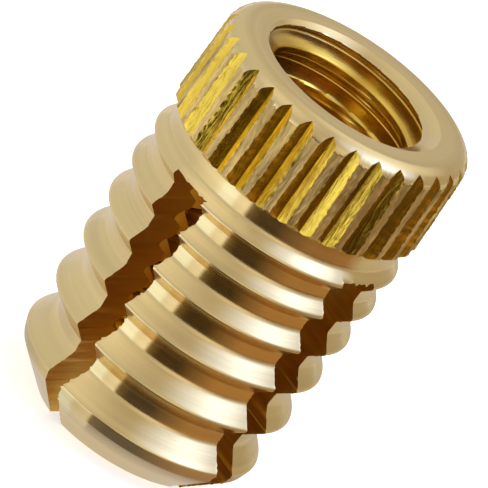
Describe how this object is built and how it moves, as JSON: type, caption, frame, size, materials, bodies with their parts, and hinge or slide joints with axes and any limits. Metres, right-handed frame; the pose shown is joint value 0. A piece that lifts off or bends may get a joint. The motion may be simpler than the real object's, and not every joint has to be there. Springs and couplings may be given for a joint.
{
  "type": "expansion anchor",
  "caption": "Slotted brass expansion anchor with a straight-knurled collar, barbed rings, a threaded bore and a squeezed tip that the screw spreads apart.",
  "frame": {"origin": "centre of the tip, on the plane that the tip stands on", "axes": "+Z along the bore from the tip to the collar, +X and +Y through the middle of two neighbouring slots"},
  "size_m": [0.0086, 0.0086, 0.0133],
  "materials": {
    "brass": "turned and sawn, bright with fine tool marks"
  },
  "bodies": {
    "root": {"insert": "brass"}
  },
  "joints": []
}
